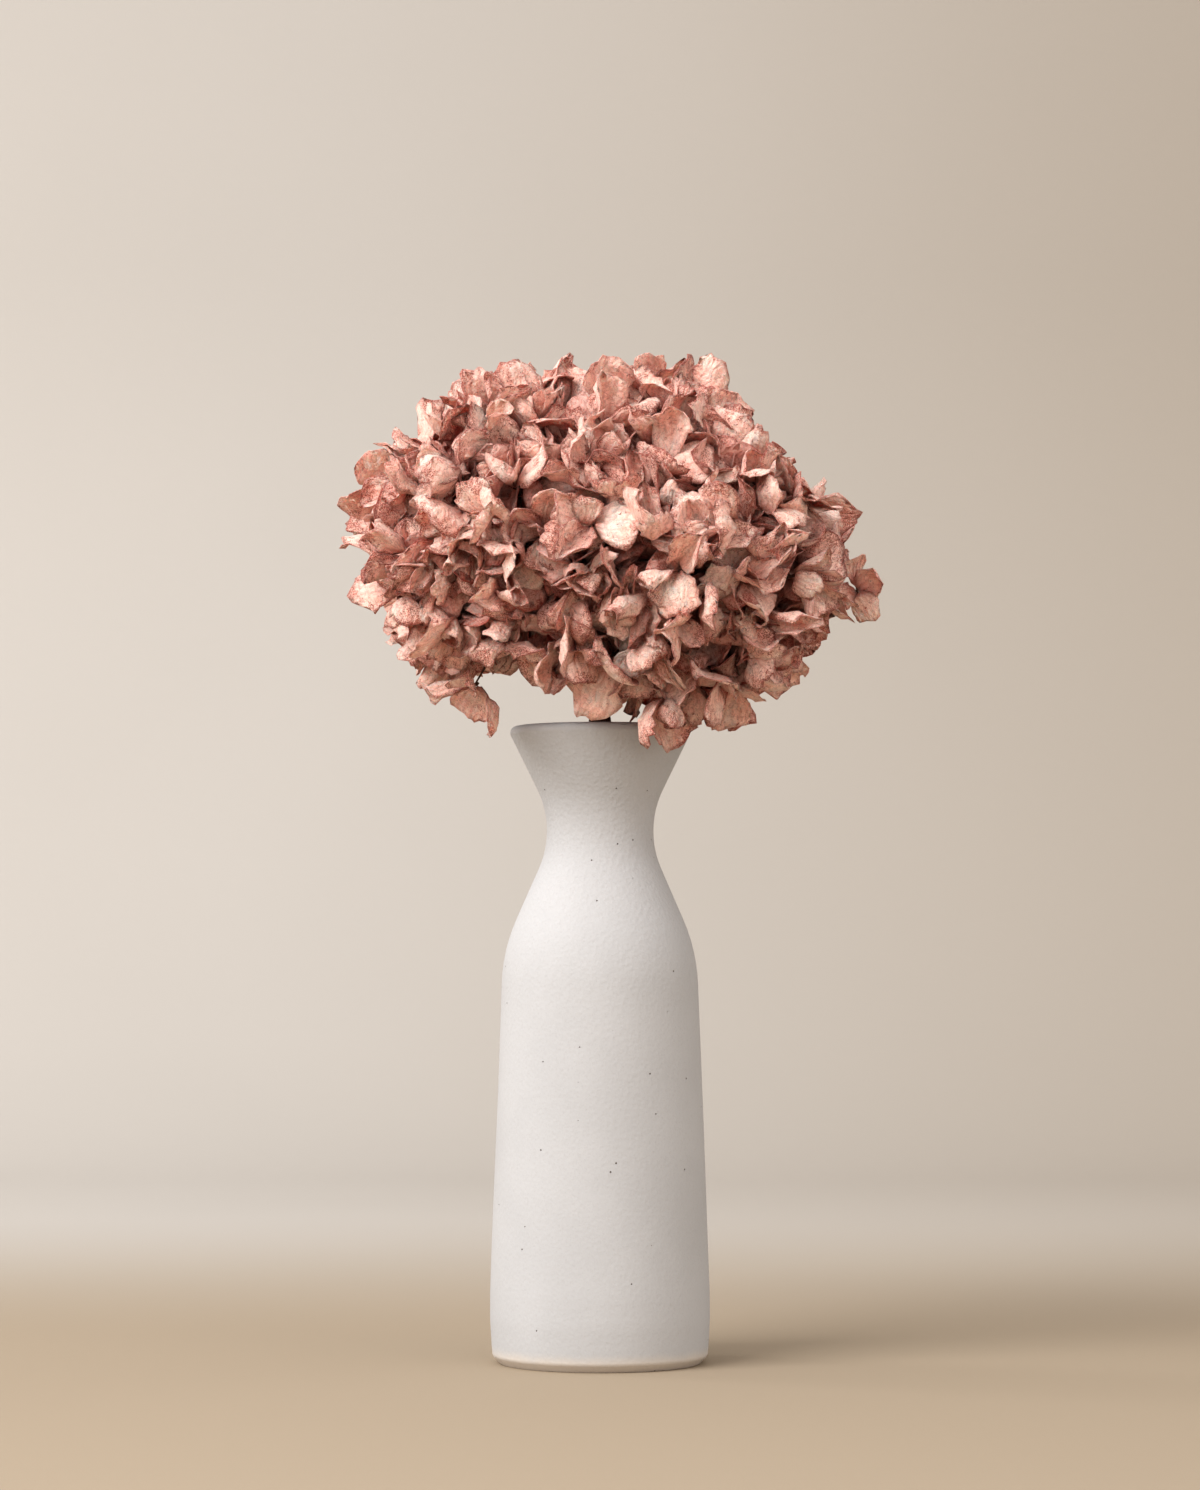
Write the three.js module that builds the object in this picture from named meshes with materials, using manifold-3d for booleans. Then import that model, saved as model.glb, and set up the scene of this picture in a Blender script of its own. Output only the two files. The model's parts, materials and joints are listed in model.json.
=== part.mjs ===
// Dried mophead hydrangeas standing in a white bottle vase.
//
// The vase is a thrown bottle: a bevelled foot, a tall body that tapers a little as it rises, a round
// shoulder, a narrow neck and a flared mouth. It is hollow, with an even wall and a thicker floor.
// Three cut stems stand on its floor, pass the neck side by side and part above the mouth. Each carries
// one head: a dense ball of four-sepalled florets on short stalks, dried and curled, round a small core.
// The three heads are pressed together into one bunch.
//
// Millimetres. The origin is the centre of the foot, +Z is up, +X is to the right and -Y is the front.
import * as THREE from "three";
import { mergeVertices } from "three/addons/utils/BufferGeometryUtils.js";
import Module from "manifold-3d";

const wasm = await Module();
wasm.setup();

// ---- Driving dimensions ----

// The vase's outside as corners: radius, height and the rounding of that corner.
const FOOT = { radius: 45.6, height: 0, rounding: 0.8 };
const BEVEL = { radius: 49.0, height: 3.6, rounding: 3 };
const BELLY = { radius: 50.4, height: 20, rounding: 30 };
const SHOULDER = { radius: 44.5, height: 187.3, rounding: 80 };
const NECK = { radius: 19.9, height: 243.1, rounding: 43 };
const MOUTH = { radius: 43.0, height: 290, rounding: 3 };
const WALL = 5;
const FLOOR = 8;
const INNER_HEEL_ROUNDING = 8;
const LIP_INNER_ROUNDING = 1.6;
const VASE_SIDES = 28;
const CHORD_TOLERANCE = 0.15; // how far an arc's facets may fall inside it
const MOST_DEGREES = 30; // the most that one facet of an arc turns

const SEAT_GAP = 0.3; // between pieces that rest on each other

const STEM_RADIUS = 2.5;
const STEM_SIDES = 8;
const STEM_STEPS = 12;

// A stem's way up through the vase: its offset from the axis, in X and in Y, at each height.
const STEM_ROUTE = [
  { offset: 22, height: FLOOR + 2 * SEAT_GAP },
  { offset: 15.8, height: FLOOR + 95 },
  { offset: 4.4, height: NECK.height - 30 },
  { offset: 2.8, height: NECK.height + 12 },
  { offset: 2.8, height: MOUTH.height },
  { offset: 3.2, height: MOUTH.height + 14 },
];

const SEPAL_LENGTH = 24;
const SEPAL_WIDTH = 25;
const SEPAL_THICKNESS = 1.8;
const THROAT_RADIUS = 3.2; // where a floret's sepals meet, over its stalk
const FLORET_INSETS = [7, 18, 12]; // how far inside the bunch's surface florets' middles lie, by turns
const SEAM_INSET = 5; // how near a floret's middle may come to where two heads meet
const CORE_SHARE = 0.64; // the core's size, as a share of the head's reach
const CORE_DETAIL = 2;
const STALK_SINK = 5; // how far a floret's stalk runs into the core
const HEAD_GAP = 0.25; // each head keeps this far from the plane where it meets a neighbour
const PRESS_DEPTH = 5; // sepals nearer than this to that plane are pressed back from it
const CLOSENESS = 3.6; // how far the heads' florets fill the clefts between them: less fills more

const FLORET_SPACING = 29; // no spot on a head's part of the surface is further than this from a floret
const BUNCH = { centre: [0, -2, 372], reach: [118, 106, 84] }; // the whole bunch, roughly
const SPOTS = 1600; // how many spots of the bunch's surface are tried for florets

// Each head's middle, its reach to the sepals' tips along X, Y and Z and the draw of its florets' shapes,
// with the side of the axis on which its stem climbs and where that stem ends in it.
const HEADS = [
  { name: "left", centre: [-50, -12, 374], reach: [66, 82, 75], seed: 23, side: [-1, -1], seat: [-30, -6, 354] },
  { name: "right", centre: [47, -22, 360], reach: [66, 82, 71], seed: 23, side: [1, -1], seat: [30, -14, 342] },
  { name: "back", centre: [8, 28, 383], reach: [66, 82, 71], seed: 16, side: [0, 1], seat: [5, 19, 362] },
];

// Where the bunch is pressed in, or where it swells if the depth is below 0: the middle of the place, how
// wide it reaches and how deep it goes, as a share of a head's reach.
const HOLLOWS = [
  { centre: [-98, 0, 428], reach: 32, depth: 0.18 },
  { centre: [-112, 0, 332], reach: 34, depth: 0.22 },
  { centre: [-28, -10, 306], reach: 24, depth: 0.5 },
  { centre: [40, 0, 296], reach: 28, depth: 0.08 },
  { centre: [96, 0, 308], reach: 34, depth: 0.22 },
  { centre: [118, 0, 352], reach: 30, depth: 0.08 },
  { centre: [88, 0, 428], reach: 40, depth: 0.26 },
  { centre: [4, -80, 360], reach: 40, depth: -0.16 },
];

// No floret's middle lies inside this radius below this height.
const OVER_MOUTH = { radius: 49, height: 317 };

// Florets with places of their own: which head, where, and which way each faces. The first three stand
// clear of the rest, the next two hang lowest, and the others close the front over the stems.
const PLACED_FLORETS = [
  { head: "back", at: [24, 4, 441], facing: [0.1, -0.9, 0.4] },
  { head: "back", at: [42, 4, 437], facing: [0.3, -0.8, 0.3] },
  { head: "right", at: [107, -20, 353], facing: [0.45, -0.85, -0.1] },
  { head: "right", at: [20, -56, 306], facing: [-0.1, -0.95, -0.3] },
  { head: "left", at: [-55, -40, 310], facing: [-0.1, -0.8, -0.5] },
  { head: "right", at: [4, -82, 374], facing: [-0.25, -0.95, 0.2] },
  { head: "right", at: [2, -72, 342], facing: [-0.3, -0.9, -0.1] },
  { head: "right", at: [-2, -48, 320], facing: [-0.25, -0.85, -0.4] },
  { head: "left", at: [-31, -44, 334], facing: [0.1, -0.85, -0.45] },
];

// ---- Small helpers ----

// A repeatable stream of numbers from 0 to 1.
function draws(seed) {
  let state = seed * 2654435761;
  return () => {
    state = (state + 0x6d2b79f5) | 0;
    let t = Math.imul(state ^ (state >>> 15), 1 | state);
    t = (t + Math.imul(t ^ (t >>> 7), 61 | t)) ^ t;
    return ((t ^ (t >>> 14)) >>> 0) / 4294967296;
  };
}

function solidOf(geometry) {
  const bare = geometry.clone();
  bare.deleteAttribute("normal");
  bare.deleteAttribute("uv");
  const merged = mergeVertices(bare, 1e-4);
  return new wasm.Manifold(
    new wasm.Mesh({
      numProp: 3,
      vertProperties: merged.attributes.position.array,
      triVerts: new Uint32Array(merged.index.array),
    }),
  );
}

function geometryOf(solid) {
  const mesh = solid.getMesh();
  const geometry = new THREE.BufferGeometry();
  geometry.setAttribute("position", new THREE.BufferAttribute(new Float32Array(mesh.vertProperties), 3));
  geometry.setIndex(new THREE.BufferAttribute(new Uint32Array(mesh.triVerts), 1));
  geometry.computeVertexNormals();
  return geometry;
}

// ---- Vase ----

// The corners as a run of points, with an arc at each corner that has a rounding.
function roundedOutline(corners) {
  return corners.flatMap((corner, i) => {
    const point = new THREE.Vector2(corner.radius, corner.height);
    const before = corners[i - 1];
    const after = corners[i + 1];
    if (!before || !after || !corner.rounding) return [point];
    const back = new THREE.Vector2(before.radius, before.height).sub(point).normalize();
    const ahead = new THREE.Vector2(after.radius, after.height).sub(point).normalize();
    const half = Math.acos(back.dot(ahead)) / 2;
    const run = corner.rounding / Math.tan(half);
    const toCentre = back.clone().add(ahead).normalize().multiplyScalar(corner.rounding / Math.sin(half));
    const centre = toCentre.add(point);
    const start = back.multiplyScalar(run).add(point).sub(centre);
    const end = ahead.multiplyScalar(run).add(point).sub(centre);
    const turn = Math.atan2(start.cross(end), start.dot(end));
    const byChord = 2 * Math.acos(1 - Math.min(1, CHORD_TOLERANCE / corner.rounding));
    const steps = Math.ceil(Math.abs(turn) / Math.min(byChord, THREE.MathUtils.degToRad(MOST_DEGREES)));
    return Array.from({ length: steps + 1 }, (_, k) =>
      start.clone().rotateAround(new THREE.Vector2(), (turn * k) / steps).add(centre),
    );
  });
}

// The same corners, moved in by the wall's thickness. Roundings that bulge out shrink, and the others grow.
function movedIn(corners, distance) {
  return corners.slice(1, -1).map((corner, i) => {
    const point = new THREE.Vector2(corner.radius, corner.height);
    const along = [corners[i], corners[i + 2]].map((c, k) =>
      new THREE.Vector2(c.radius, c.height).sub(point).multiplyScalar(k ? 1 : -1).normalize(),
    );
    const normals = along.map((d) => new THREE.Vector2(-d.y, d.x));
    const bisector = normals[0].clone().add(normals[1]).normalize();
    point.addScaledVector(bisector, distance / bisector.dot(normals[0]));
    const growth = along[0].cross(along[1]) > 0 ? -distance : distance;
    return { radius: point.x, height: point.y, rounding: corner.rounding + growth };
  });
}

const outside = [FOOT, BEVEL, BELLY, SHOULDER, NECK, MOUTH];
const sideSlope = (BELLY.radius - SHOULDER.radius) / (SHOULDER.height - BELLY.height);
const mouthSlope = (MOUTH.radius - NECK.radius) / (MOUTH.height - NECK.height);
const [, , innerShoulder, innerNeck] = movedIn([...outside, { radius: 0, height: MOUTH.height }], WALL);
const innerHeel = {
  radius: innerShoulder.radius + (innerShoulder.height - FLOOR) * sideSlope,
  height: FLOOR,
  rounding: INNER_HEEL_ROUNDING,
};
const innerLip = {
  radius: innerNeck.radius + (MOUTH.height - innerNeck.height) * mouthSlope,
  height: MOUTH.height,
  rounding: LIP_INNER_ROUNDING,
};

// Turns an outline about the vase's axis, from the axis and back to it.
function turned(corners) {
  const first = { radius: 0, height: corners[0].height };
  const last = { radius: 0, height: corners.at(-1).height };
  return new THREE.LatheGeometry(roundedOutline([first, ...corners, last]), VASE_SIDES).rotateX(Math.PI / 2);
}

const vaseGeometry = turned([...outside, innerLip, innerNeck, innerShoulder, innerHeel]);

// ---- Stems ----

// A head's stem, or with a larger radius and a little extra at its ends, what the head keeps clear of it.
function stemGeometry(head, radius, extra) {
  const [x, y] = head.side;
  const climb = STEM_ROUTE.map(({ offset, height }) => new THREE.Vector3(x * offset, y * offset, height));
  const seat = new THREE.Vector3(...head.seat);
  const intoHead = seat.clone().sub(climb.at(-1)).normalize();
  climb[0].z -= extra;
  const path = new THREE.CatmullRomCurve3([...climb, seat.addScaledVector(intoHead, extra)]);
  const section = new THREE.Shape().absarc(0, 0, radius, 0, 2 * Math.PI);
  return new THREE.ExtrudeGeometry(section, {
    steps: STEM_STEPS,
    curveSegments: STEM_SIDES / 2,
    extrudePath: path,
  });
}

// ---- Florets ----

// One sepal's edge, from the throat round its tip and back, as shares of its length, of half its width,
// and of the height by which its rim lifts.
const SEPAL_EDGE = [
  { along: 0.45, across: -0.9, lift: 0.5 },
  { along: 0.88, across: -0.68, lift: 1.0 },
  { along: 1.0, across: 0.3, lift: 0.7 },
  { along: 0.62, across: 0.95, lift: 0.8 },
];

// A floret about its own middle, facing +Z: four broad sepals, each curled its own way and thickest along
// its rib, and a stalk that runs down to a point. Both faces of a sepal are split into triangles alike.
function floretGeometry(random, stalkLength) {
  const positions = [0, 0, SEPAL_THICKNESS / 2, 0, 0, -stalkLength];
  const [throat, root] = [0, 1];
  const faces = [];
  const add = (x, y, z) => positions.push(x, y, z) / 3 - 1;
  const notches = [0, 1, 2, 3].map((k) => {
    const angle = ((k - 0.5) * Math.PI) / 2;
    return add(THROAT_RADIUS * Math.cos(angle), THROAT_RADIUS * Math.sin(angle), 0);
  });
  for (let k = 0; k < 4; k++) {
    const angle = (k * Math.PI) / 2 + (random() - 0.5) * 0.35;
    const length = SEPAL_LENGTH * (0.82 + 0.3 * random());
    const halfWidth = (SEPAL_WIDTH / 2) * (0.85 + 0.3 * random());
    const rise = length * (0.05 + 0.55 * random()); // how far the tip stands above the throat
    const cup = length * (random() < 0.7 ? 0.1 + 0.16 * random() : -0.14 * random()); // its rim over its rib
    const [cos, sin] = [Math.cos(angle), Math.sin(angle)];
    const turn = (x, y, z) => add(x * cos - y * sin, x * sin + y * cos, z);
    const edge = SEPAL_EDGE.map(({ along, across, lift }) => {
      const wave = 0.09 * length * (random() - 0.5);
      return turn(along * length, across * halfWidth, rise * along * along + cup * lift + wave);
    });
    const rib = { x: 0.56 * length, z: rise * 0.3 - cup * 0.15 };
    const ribTop = turn(rib.x, 0, rib.z + SEPAL_THICKNESS / 2);
    const ribUnder = turn(rib.x, 0, rib.z - SEPAL_THICKNESS / 2);
    const [before, after] = [notches[k], notches[(k + 1) % 4]];
    const rim = [before, ...edge, after];
    for (let i = 0; i + 1 < rim.length; i++) {
      faces.push(ribTop, rim[i], rim[i + 1], ribUnder, rim[i + 1], rim[i]);
    }
    faces.push(ribTop, after, throat, ribTop, throat, before, ribUnder, before, after, root, after, before);
  }
  const geometry = new THREE.BufferGeometry();
  geometry.setAttribute("position", new THREE.BufferAttribute(new Float32Array(positions), 3));
  geometry.setIndex(faces);
  return geometry;
}

// ---- Heads ----

const vector = (list) => new THREE.Vector3(...list);

// How far a head by itself reaches in a direction.
function reachAlong(head, direction) {
  return 1 / direction.clone().divide(vector(head.reach)).length();
}

// How far out a point is: 1 on the surface that all the heads share, less inside it. The heads run
// together where they meet, as they do when they are pressed into one bunch.
function outwardness(point) {
  const nearness = HEADS.map((head) => {
    const offset = point.clone().sub(vector(head.centre)).divide(vector(head.reach));
    return Math.exp(-CLOSENESS * offset.length());
  });
  const pressedIn = HOLLOWS.map(
    ({ centre, reach, depth }) => depth * Math.exp(-point.distanceToSquared(vector(centre)) / (reach * reach)),
  );
  const total = (values) => values.reduce((sum, value) => sum + value, 0);
  return total(pressedIn) - Math.log(total(nearness)) / CLOSENESS;
}

// The shared surface's point in a direction from the bunch's middle, found by halving.
function bunchSurface(direction) {
  const centre = vector(BUNCH.centre);
  let [near, far] = [0, 2 * Math.max(...BUNCH.reach)];
  for (let i = 0; i < 24; i++) {
    const middle = (near + far) / 2;
    const inside = outwardness(centre.clone().addScaledVector(direction, middle)) < 1;
    [near, far] = inside ? [middle, far] : [near, middle];
  }
  return centre.addScaledVector(direction, near);
}

// Which way is out at a point.
function outwardAt(point) {
  const slope = [0, 1, 2].map((axis) => {
    const step = new THREE.Vector3().setComponent(axis, 0.5);
    return outwardness(point.clone().add(step)) - outwardness(point.clone().sub(step));
  });
  return vector(slope).normalize();
}

// The planes where a head meets its neighbours, with normals towards the neighbours.
function meetingPlanes(head) {
  return HEADS.filter((other) => other !== head).map((other) => {
    const across = vector(other.centre).sub(vector(head.centre));
    const distance = across.length();
    const [mine, theirs] = [head, other].map(({ reach }) => (reach[0] + reach[1] + reach[2]) / 3);
    const share = (distance * distance + mine * mine - theirs * theirs) / (2 * distance);
    across.normalize();
    const meeting = vector(head.centre).addScaledVector(across, share);
    return new THREE.Plane().setFromNormalAndCoplanarPoint(across, meeting);
  });
}

// Bends a point back from the planes, so that nothing of a head crosses into its neighbours.
function pressBack(point, planes) {
  for (const plane of planes) {
    const past = plane.distanceToPoint(point) + PRESS_DEPTH;
    if (past <= 0) continue;
    const room = PRESS_DEPTH - HEAD_GAP;
    point.addScaledVector(plane.normal, room * (1 - Math.exp(-past / room)) - past);
  }
  return point;
}

const disorder = (random, amount) =>
  new THREE.Vector3(random() - 0.5, random() - 0.5, random() - 0.5).multiplyScalar(amount);

// Spots all over the surface that the heads share, evenly spread, each with the way it faces.
function surfaceSpots(random) {
  const goldenAngle = Math.PI * (3 - Math.sqrt(5));
  return Array.from({ length: SPOTS }, (_, i) => {
    const z = 1 - (2 * (i + 0.5)) / SPOTS;
    const flat = Math.sqrt(1 - z * z);
    const angle = i * goldenAngle;
    const direction = new THREE.Vector3(flat * Math.cos(angle), flat * Math.sin(angle), z);
    const at = bunchSurface(direction.multiply(vector(BUNCH.reach)).add(disorder(random, 3)).normalize());
    return { at, facing: outwardAt(at) };
  });
}

// A head's florets. Each one goes to the spot that is furthest from those already there, until none is
// far from a floret. They lie at different depths, as crowded florets do, and none is over the mouth.
function floretPlaces(head, planes, spots, random) {
  const open = spots.filter(
    ({ at }) =>
      planes.every((plane) => plane.distanceToPoint(at) < -SEAM_INSET) &&
      (Math.hypot(at.x, at.y) > OVER_MOUTH.radius || at.z > OVER_MOUTH.height),
  );
  let next = open[Math.floor(random() * open.length)];
  const chosen = [];
  const gaps = open.map(() => Infinity);
  while (Math.max(...gaps) > FLORET_SPACING) {
    chosen.push(next);
    open.forEach(({ at }, i) => (gaps[i] = Math.min(gaps[i], at.distanceTo(next.at))));
    next = open[gaps.indexOf(Math.max(...gaps))];
  }
  const placed = PLACED_FLORETS.filter((floret) => floret.head === head.name);
  return [
    ...chosen.map(({ at, facing }, i) => ({
      at: at.clone().addScaledVector(facing, -FLORET_INSETS[i % FLORET_INSETS.length] - 3 * random()),
      facing: facing.clone().add(disorder(random, 0.65)).normalize(),
    })),
    ...placed.map(({ at, facing }) => ({ at: vector(at), facing: vector(facing).normalize() })),
  ];
}

function headCore(head, planes) {
  const geometry = new THREE.IcosahedronGeometry(1, CORE_DETAIL);
  const positions = geometry.attributes.position;
  for (let i = 0; i < positions.count; i++) {
    const point = new THREE.Vector3().fromBufferAttribute(positions, i);
    const lump = 1 + 0.06 * Math.sin(5 * point.x + 2) * Math.sin(6 * point.y) * Math.sin(5 * point.z + 1);
    point.multiply(vector(head.reach)).multiplyScalar(CORE_SHARE * lump).add(vector(head.centre));
    positions.setXYZ(i, ...pressBack(point, planes).toArray());
  }
  return solidOf(geometry);
}

const spots = surfaceSpots(draws(5));

function headFlorets(head, planes) {
  const random = draws(head.seed);
  const centre = vector(head.centre);
  return floretPlaces(head, planes, spots, random).map(({ at, facing }) => {
    const inward = centre.clone().sub(at);
    const coreSurface = CORE_SHARE * reachAlong(head, inward.clone().normalize());
    const stalk = Math.max(THROAT_RADIUS, inward.length() - coreSurface + STALK_SINK);
    const geometry = floretGeometry(random, stalk);
    const up = new THREE.Vector3(0, 0, 1);
    const spin = new THREE.Quaternion().setFromAxisAngle(up, 2 * Math.PI * random());
    const face = new THREE.Quaternion().setFromUnitVectors(up, facing);
    const placed = new THREE.Matrix4().compose(at, face.multiply(spin), new THREE.Vector3(1, 1, 1));
    geometry.applyMatrix4(placed);
    const positions = geometry.attributes.position;
    const root = at.clone().addScaledVector(inward.normalize(), stalk);
    positions.setXYZ(1, ...root.toArray());
    for (let i = 0; i < positions.count; i++) {
      const point = new THREE.Vector3().fromBufferAttribute(positions, i);
      positions.setXYZ(i, ...pressBack(point, planes).toArray());
    }
    return solidOf(geometry);
  });
}

// What the heads keep clear of: the vase, filled and a little larger, and a sleeve round each stem.
const largerOutside = outside.map((corner) => ({ ...corner, radius: corner.radius + 2 * SEAT_GAP }));
const clearVase = solidOf(turned(largerOutside)).translate([0, 0, 2 * SEAT_GAP]);
const sleeves = HEADS.map((head) => solidOf(stemGeometry(head, STEM_RADIUS + SEAT_GAP + 0.1, SEAT_GAP)));

function headGeometry(head) {
  const planes = meetingPlanes(head);
  const whole = wasm.Manifold.union([headCore(head, planes), ...headFlorets(head, planes)]);
  const cleared = whole.subtract(wasm.Manifold.union([clearVase, ...sleeves])).asOriginal().simplify(0.1);
  const pieces = cleared.decompose().sort((a, b) => b.volume() - a.volume());
  return geometryOf(pieces[0]);
}

// ---- The whole, as one group ----

const ceramic = new THREE.MeshStandardMaterial({ color: 0xe9e4e0, roughness: 0.9, metalness: 0 });
const wood = new THREE.MeshStandardMaterial({ color: 0x4a2f22, roughness: 0.85, metalness: 0 });
const sepals = new THREE.MeshStandardMaterial({ color: 0xcf9480, roughness: 0.95, metalness: 0 });

function named(name, geometry, material) {
  const mesh = new THREE.Mesh(geometry, material);
  mesh.name = name;
  return mesh;
}

const hydrangeas = new THREE.Group();
hydrangeas.add(named("vase", vaseGeometry, ceramic));
for (const head of HEADS) {
  hydrangeas.add(named(`stem_${head.name}`, stemGeometry(head, STEM_RADIUS, 0), wood));
  hydrangeas.add(named(`head_${head.name}`, headGeometry(head), sepals));
}

export default hydrangeas;
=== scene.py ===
# Dried mophead hydrangeas standing in a white stoneware bottle vase.
#
# Metres. The origin is the centre of the vase's foot, +Z is up, +X is to the right and -Y is the front.
import cmath
import json
import math

import bmesh
import bpy
import numpy as np
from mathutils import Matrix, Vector

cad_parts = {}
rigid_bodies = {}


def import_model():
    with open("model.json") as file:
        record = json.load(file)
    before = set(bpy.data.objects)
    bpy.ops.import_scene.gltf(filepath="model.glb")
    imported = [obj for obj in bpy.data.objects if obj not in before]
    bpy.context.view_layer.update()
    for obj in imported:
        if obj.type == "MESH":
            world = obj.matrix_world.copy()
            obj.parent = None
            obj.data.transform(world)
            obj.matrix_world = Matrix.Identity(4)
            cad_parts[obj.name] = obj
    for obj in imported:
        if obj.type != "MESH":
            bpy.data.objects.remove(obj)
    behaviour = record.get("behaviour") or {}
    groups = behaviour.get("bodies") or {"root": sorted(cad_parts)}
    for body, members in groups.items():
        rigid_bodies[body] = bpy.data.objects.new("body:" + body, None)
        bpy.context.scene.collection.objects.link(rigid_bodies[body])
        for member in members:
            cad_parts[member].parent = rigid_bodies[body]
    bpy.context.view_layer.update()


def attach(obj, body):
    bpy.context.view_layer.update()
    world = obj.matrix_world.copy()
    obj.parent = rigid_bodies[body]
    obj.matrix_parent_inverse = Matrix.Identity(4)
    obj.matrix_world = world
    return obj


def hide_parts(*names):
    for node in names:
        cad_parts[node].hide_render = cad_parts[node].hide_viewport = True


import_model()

# ---- The vase ----
# A bottle thrown on a wheel from white stoneware, in one piece: a bevelled foot, a tall body that tapers
# as it rises, a round shoulder, a narrow neck and a flared mouth. It is fired without a glaze, so it is
# matte and a little leathery, with pinholes, faint scratches and a bare, warmer edge round its foot.

# Its outside as corners: radius, height and the rounding of that corner.
FOOT = (0.0456, 0.0, 0.0008)
BEVEL = (0.0490, 0.0036, 0.003)
BELLY = (0.0504, 0.020, 0.200)
SHOULDER = (0.0445, 0.1873, 0.080)
NECK = (0.0199, 0.2431, 0.043)
MOUTH = (0.0430, 0.290, 0.003)
WALL = 0.005
FLOOR = 0.008
INNER_HEEL_ROUNDING = 0.008
LIP_INNER_ROUNDING = 0.0016
VASE_SIDES = 144
ARC_STEP = math.radians(4)
LONGEST_STEP = 0.004

# How far the potter's hands left the wall from true, and the waves of it: how many go round the vase, how
# they twist as they rise, and where each starts.
THROWING_DEPTH = 0.00018
THROWING_WAVES = [(2, 31, 0), (3, -47, 1)]


def rounded(corners):
    """The corners as points, radius + height j, with an arc at each corner that has a rounding."""
    points = []
    for i, (radius, height, rounding) in enumerate(corners):
        corner = complex(radius, height)
        if not rounding:
            points.append(corner)
            continue
        back = complex(*corners[i - 1][:2]) - corner
        ahead = complex(*corners[i + 1][:2]) - corner
        back, ahead = back / abs(back), ahead / abs(ahead)
        half = abs(cmath.phase(ahead / back)) / 2
        middle = (back + ahead) / abs(back + ahead)
        centre = corner + middle * rounding / math.sin(half)
        start = corner + back * rounding / math.tan(half) - centre
        turn = cmath.phase((corner + ahead * rounding / math.tan(half) - centre) / start)
        steps = max(2, math.ceil(abs(turn) / ARC_STEP))
        points += [centre + start * cmath.exp(1j * turn * k / steps) for k in range(steps + 1)]
    return points


def moved_in(corners, distance):
    """The corners between the first and the last, moved in from the outside by a distance."""
    moved = []
    for before, (radius, height, rounding), after in zip(corners, corners[1:], corners[2:]):
        corner = complex(radius, height)
        arms = [corner - complex(*before[:2]), complex(*after[:2]) - corner]
        inward = [arm / abs(arm) * 1j for arm in arms]
        middle = sum(inward) / abs(sum(inward))
        corner += middle * distance / (middle * inward[0].conjugate()).real
        bulges = cmath.phase(arms[1] / arms[0]) > 0
        moved.append((corner.real, corner.imag, rounding + (-distance if bulges else distance)))
    return moved


def with_steps(points, longest):
    """The same run of points, with more on its long straight stretches."""
    filled = [points[0]]
    for start, end in zip(points, points[1:]):
        steps = max(1, math.ceil(abs(end - start) / longest))
        filled += [start + (end - start) * k / steps for k in range(1, steps + 1)]
    return filled


def in_scene(name, data):
    """A new object in the scene, made of a mesh, a lamp or a camera."""
    made = bpy.data.objects.new(name, data)
    bpy.context.scene.collection.objects.link(made)
    return made


def turned(name, outline, sides):
    """A closed mesh: an outline that starts and ends on the Z axis, turned about it."""
    vertices = [(0, 0, outline[0].imag)]
    faces = [(0, 1 + (k + 1) % sides, 1 + k) for k in range(sides)]
    for ring, point in enumerate(outline[1:-1]):
        for k in range(sides):
            angle = 2 * math.pi * k / sides
            waves = [math.sin(n * angle + twist * point.imag + start) for n, twist, start in THROWING_WAVES]
            radius = point.real + THROWING_DEPTH / 2 * sum(waves) * min(1, point.imag / FLOOR)
            vertices.append((radius * math.cos(angle), radius * math.sin(angle), point.imag))
            if ring:
                low, high = 1 + (ring - 1) * sides, 1 + ring * sides
                beside = (k + 1) % sides
                faces.append((low + k, low + beside, high + beside, high + k))
    last = len(vertices)
    vertices.append((0, 0, outline[-1].imag))
    faces += [(last - sides + k, last - sides + (k + 1) % sides, last) for k in range(sides)]
    mesh = bpy.data.meshes.new(name)
    mesh.from_pydata(vertices, [], faces)
    mesh.shade_smooth()
    return in_scene(name, mesh)


OUTSIDE = [FOOT, BEVEL, BELLY, SHOULDER, NECK, MOUTH]
inner_shoulder, inner_neck = moved_in([*OUTSIDE, (0, MOUTH[1], 0)], WALL)[2:4]
side_slope = (BELLY[0] - SHOULDER[0]) / (SHOULDER[1] - BELLY[1])
mouth_slope = (MOUTH[0] - NECK[0]) / (MOUTH[1] - NECK[1])
inner_heel = (inner_shoulder[0] + (inner_shoulder[1] - FLOOR) * side_slope, FLOOR, INNER_HEEL_ROUNDING)
inner_lip = (inner_neck[0] + (MOUTH[1] - inner_neck[1]) * mouth_slope, MOUTH[1], LIP_INNER_ROUNDING)
INSIDE = [inner_lip, inner_neck, inner_shoulder, inner_heel]
outline = with_steps(rounded([(0, 0, 0), *OUTSIDE, *INSIDE, (0, FLOOR, 0)]), LONGEST_STEP)
bottle = turned("bottle", outline, VASE_SIDES)


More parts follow.
